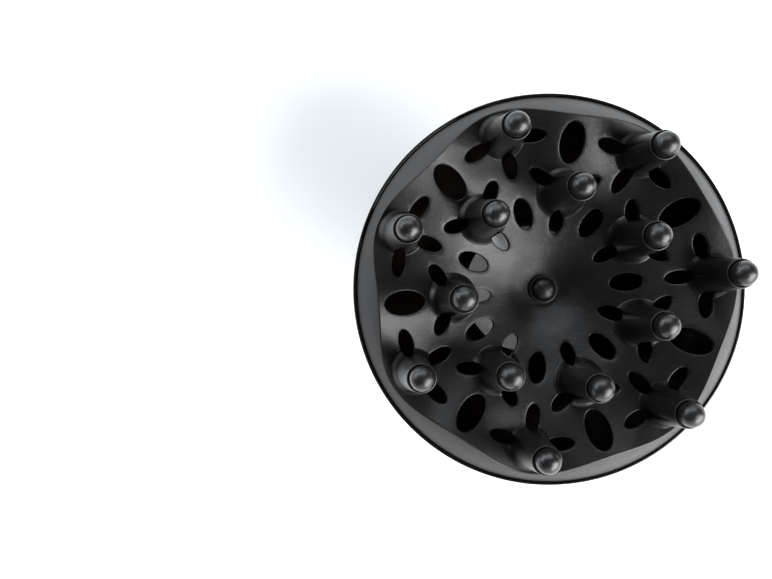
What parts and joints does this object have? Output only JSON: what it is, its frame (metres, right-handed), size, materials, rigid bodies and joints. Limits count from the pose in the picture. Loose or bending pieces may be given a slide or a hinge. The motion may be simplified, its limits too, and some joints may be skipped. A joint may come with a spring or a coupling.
{
  "type": "hair dryer diffuser",
  "caption": "Round bowl diffuser for a hair dryer: gloss flared bell, vented plate with hollow fingers and soft tips, and a slotted snap collar that turns.",
  "frame": {"origin": "centre of the snap collar's end face, where the part stands on a table", "axes": "+Z along the air path, from the collar to the finger tips; +X through the first outer finger"},
  "size_m": [0.138, 0.138, 0.1087],
  "materials": {
    "bell_gloss": "gloss black moulded plastic",
    "plate_satin": "satin black moulded plastic with a fine grain",
    "tip_soft": "smooth soft-touch black, slightly glossier than the plate",
    "collar_plastic": "semi-gloss black moulded plastic"
  },
  "bodies": {
    "head": {"rear_bell": "bell_gloss", "finger_plate": "plate_satin", "finger_tip_01": "tip_soft", "finger_tip_02": "tip_soft", "finger_tip_03": "tip_soft", "finger_tip_04": "tip_soft", "finger_tip_05": "tip_soft", "finger_tip_06": "tip_soft", "finger_tip_07": "tip_soft", "finger_tip_08": "tip_soft", "finger_tip_09": "tip_soft", "finger_tip_10": "tip_soft", "finger_tip_11": "tip_soft", "finger_tip_12": "tip_soft", "finger_tip_13": "tip_soft", "finger_tip_14": "tip_soft", "center_tip": "tip_soft"},
    "collar": {"snap_collar": "collar_plastic"}
  },
  "joints": [
    {"name": "collar_swivel", "type": "hinge", "parent": "head", "child": "collar", "pos_m": [0, 0, 0.017], "axis": [0, 0, 1], "continuous": true}
  ]
}
